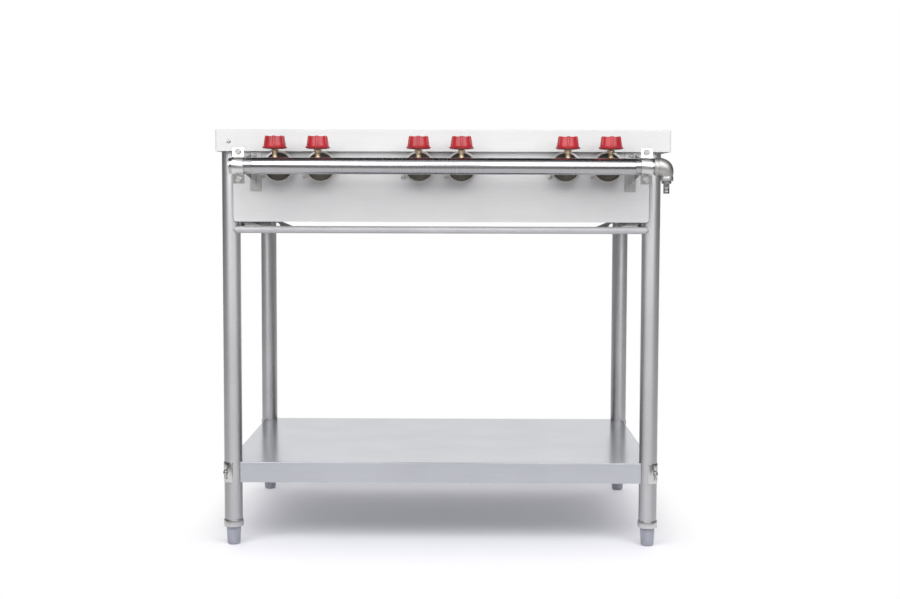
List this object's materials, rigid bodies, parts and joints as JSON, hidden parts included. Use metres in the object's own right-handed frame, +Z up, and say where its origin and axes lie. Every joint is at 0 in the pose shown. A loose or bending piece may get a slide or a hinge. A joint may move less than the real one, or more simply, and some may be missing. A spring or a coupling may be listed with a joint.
{
  "type": "multi-burner stove",
  "caption": "Floor-standing stainless steel gas stove: a row of burners under cast pan supports, red valve knobs on a front gas pipe, tube legs with a shelf, levelling feet.",
  "frame": {"origin": "on the floor under the middle of the object's box", "axes": "+X to the right as seen from the front, +Y to the back, +Z up"},
  "size_m": [0.944, 0.7808, 0.883],
  "materials": {
    "satin_sheet_steel": "satin stainless sheet",
    "polished_tube_steel": "polished stainless tube",
    "gas_pipe_steel": "polished stainless pipe",
    "bracket_steel": "bare pressed steel",
    "fitting_steel": "cast and turned stainless",
    "fastener_steel": "plain steel fasteners",
    "shutter_steel": "bright pressed sheet",
    "bell_metal": "dull grey casting",
    "bar_steel": "mill-finish flat bar",
    "brass": "turned brass",
    "red_plastic": "moulded red plastic",
    "foot_plastic": "moulded grey plastic",
    "cast_iron": "blackened cast iron"
  },
  "bodies": {
    "stove": {"top_plate": "satin_sheet_steel", "front_panel": "satin_sheet_steel", "back_panel": "satin_sheet_steel", "left_panel": "satin_sheet_steel", "right_panel": "satin_sheet_steel", "shelf": "satin_sheet_steel", "leg_front_left": "polished_tube_steel", "leg_front_right": "polished_tube_steel", "leg_back_left": "polished_tube_steel", "leg_back_right": "polished_tube_steel", "front_rail": "polished_tube_steel", "back_rail": "polished_tube_steel", "side_rails": "polished_tube_steel", "corner_gussets": "polished_tube_steel", "manifold_pipe": "gas_pipe_steel", "manifold_cap": "gas_pipe_steel", "pipe_brackets": "bracket_steel", "clamp_straps": "bracket_steel", "shelf_clamps": "bracket_steel", "shelf_cleats": "bracket_steel", "foot_sockets": "bracket_steel", "inlet_elbow": "fitting_steel", "hose_barb": "fitting_steel", "clamp_bolts": "fastener_steel", "shelf_bolts": "fastener_steel", "hex_nuts": "fastener_steel", "pan_head_screws": "fastener_steel", "mixing_bells": "bell_metal", "burner_bars": "bar_steel", "valve_bodies": "brass", "gland_nuts": "brass", "gas_jets": "brass", "burner_left": "cast_iron", "burner_middle": "cast_iron", "burner_right": "cast_iron"},
    "spindle_left_inner": {"spindle_left_inner": "brass"},
    "spindle_left_outer": {"spindle_left_outer": "brass"},
    "spindle_middle_inner": {"spindle_middle_inner": "brass"},
    "spindle_middle_outer": {"spindle_middle_outer": "brass"},
    "spindle_right_inner": {"spindle_right_inner": "brass"},
    "spindle_right_outer": {"spindle_right_outer": "brass"},
    "knob_left_inner": {"knob_left_inner": "red_plastic"},
    "knob_left_outer": {"knob_left_outer": "red_plastic"},
    "knob_middle_inner": {"knob_middle_inner": "red_plastic"},
    "knob_middle_outer": {"knob_middle_outer": "red_plastic"},
    "knob_right_inner": {"knob_right_inner": "red_plastic"},
    "knob_right_outer": {"knob_right_outer": "red_plastic"},
    "air_shutter_left_inner": {"air_shutter_left_inner": "shutter_steel"},
    "air_shutter_left_outer": {"air_shutter_left_outer": "shutter_steel"},
    "air_shutter_middle_inner": {"air_shutter_middle_inner": "shutter_steel"},
    "air_shutter_middle_outer": {"air_shutter_middle_outer": "shutter_steel"},
    "air_shutter_right_inner": {"air_shutter_right_inner": "shutter_steel"},
    "air_shutter_right_outer": {"air_shutter_right_outer": "shutter_steel"},
    "foot_front_left": {"foot_front_left": "foot_plastic"},
    "foot_front_right": {"foot_front_right": "foot_plastic"},
    "foot_back_left": {"foot_back_left": "foot_plastic"},
    "foot_back_right": {"foot_back_right": "foot_plastic"},
    "pan_support_left": {"pan_support_left": "cast_iron"},
    "pan_support_middle": {"pan_support_middle": "cast_iron"},
    "pan_support_right": {"pan_support_right": "cast_iron"}
  },
  "joints": [
    {"name": "spindle_left_inner_rise", "type": "slide", "parent": "stove", "child": "spindle_left_inner", "axis": [0, 0, 1], "range_m": [0, 0.004]},
    {"name": "knob_left_inner_turn", "type": "hinge", "parent": "spindle_left_inner", "child": "knob_left_inner", "pos_m": [-0.3395, -0.3445, 0.848], "axis": [0, 0, 1], "range_deg": [0, 720]},
    {"name": "air_shutter_left_inner_turn", "type": "hinge", "parent": "stove", "child": "air_shutter_left_inner", "pos_m": [-0.3395, -0.2875, 0.8], "axis": [0, -1, 0], "range_deg": [0, 60]},
    {"name": "spindle_left_outer_rise", "type": "slide", "parent": "stove", "child": "spindle_left_outer", "axis": [0, 0, 1], "range_m": [0, 0.004]},
    {"name": "knob_left_outer_turn", "type": "hinge", "parent": "spindle_left_outer", "child": "knob_left_outer", "pos_m": [-0.2525, -0.3445, 0.848], "axis": [0, 0, 1], "range_deg": [0, 720]},
    {"name": "air_shutter_left_outer_turn", "type": "hinge", "parent": "stove", "child": "air_shutter_left_outer", "pos_m": [-0.2525, -0.2875, 0.8], "axis": [0, -1, 0], "range_deg": [0, 60]},
    {"name": "spindle_middle_inner_rise", "type": "slide", "parent": "stove", "child": "spindle_middle_inner", "axis": [0, 0, 1], "range_m": [0, 0.004]},
    {"name": "knob_middle_inner_turn", "type": "hinge", "parent": "spindle_middle_inner", "child": "knob_middle_inner", "pos_m": [-0.0485, -0.3445, 0.848], "axis": [0, 0, 1], "range_deg": [0, 720]},
    {"name": "air_shutter_middle_inner_turn", "type": "hinge", "parent": "stove", "child": "air_shutter_middle_inner", "pos_m": [-0.0485, -0.2875, 0.8], "axis": [0, -1, 0], "range_deg": [0, 60]},
    {"name": "spindle_middle_outer_rise", "type": "slide", "parent": "stove", "child": "spindle_middle_outer", "axis": [0, 0, 1], "range_m": [0, 0.004]},
    {"name": "knob_middle_outer_turn", "type": "hinge", "parent": "spindle_middle_outer", "child": "knob_middle_outer", "pos_m": [0.0385, -0.3445, 0.848], "axis": [0, 0, 1], "range_deg": [0, 720]},
    {"name": "air_shutter_middle_outer_turn", "type": "hinge", "parent": "stove", "child": "air_shutter_middle_outer", "pos_m": [0.0385, -0.2875, 0.8], "axis": [0, -1, 0], "range_deg": [0, 60]},
    {"name": "spindle_right_inner_rise", "type": "slide", "parent": "stove", "child": "spindle_right_inner", "axis": [0, 0, 1], "range_m": [0, 0.004]},
    {"name": "knob_right_inner_turn", "type": "hinge", "parent": "spindle_right_inner", "child": "knob_right_inner", "pos_m": [0.2535, -0.3445, 0.848], "axis": [0, 0, 1], "range_deg": [0, 720]},
    {"name": "air_shutter_right_inner_turn", "type": "hinge", "parent": "stove", "child": "air_shutter_right_inner", "pos_m": [0.2535, -0.2875, 0.8], "axis": [0, -1, 0], "range_deg": [0, 60]},
    {"name": "spindle_right_outer_rise", "type": "slide", "parent": "stove", "child": "spindle_right_outer", "axis": [0, 0, 1], "range_m": [0, 0.004]},
    {"name": "knob_right_outer_turn", "type": "hinge", "parent": "spindle_right_outer", "child": "knob_right_outer", "pos_m": [0.3405, -0.3445, 0.848], "axis": [0, 0, 1], "range_deg": [0, 720]},
    {"name": "air_shutter_right_outer_turn", "type": "hinge", "parent": "stove", "child": "air_shutter_right_outer", "pos_m": [0.3405, -0.2875, 0.8], "axis": [0, -1, 0], "range_deg": [0, 60]},
    {"name": "foot_front_left_level", "type": "slide", "parent": "stove", "child": "foot_front_left", "axis": [0, 0, -1], "range_m": [0, 0.02]},
    {"name": "foot_front_right_level", "type": "slide", "parent": "stove", "child": "foot_front_right", "axis": [0, 0, -1], "range_m": [0, 0.02]},
    {"name": "foot_back_left_level", "type": "slide", "parent": "stove", "child": "foot_back_left", "axis": [0, 0, -1], "range_m": [0, 0.02]},
    {"name": "foot_back_right_level", "type": "slide", "parent": "stove", "child": "foot_back_right", "axis": [0, 0, -1], "range_m": [0, 0.02]},
    {"name": "pan_support_left_lift", "type": "slide", "parent": "stove", "child": "pan_support_left", "axis": [0, 0, 1], "range_m": [0, 0.15]},
    {"name": "pan_support_middle_lift", "type": "slide", "parent": "stove", "child": "pan_support_middle", "axis": [0, 0, 1], "range_m": [0, 0.15]},
    {"name": "pan_support_right_lift", "type": "slide", "parent": "stove", "child": "pan_support_right", "axis": [0, 0, 1], "range_m": [0, 0.15]}
  ],
  "couplings": [
    {"joint": "knob_left_inner_turn", "follows": "spindle_left_inner_rise", "rad_per_m": 3141.6},
    {"joint": "knob_left_outer_turn", "follows": "spindle_left_outer_rise", "rad_per_m": 3141.6},
    {"joint": "knob_middle_inner_turn", "follows": "spindle_middle_inner_rise", "rad_per_m": 3141.6},
    {"joint": "knob_middle_outer_turn", "follows": "spindle_middle_outer_rise", "rad_per_m": 3141.6},
    {"joint": "knob_right_inner_turn", "follows": "spindle_right_inner_rise", "rad_per_m": 3141.6},
    {"joint": "knob_right_outer_turn", "follows": "spindle_right_outer_rise", "rad_per_m": 3141.6}
  ]
}
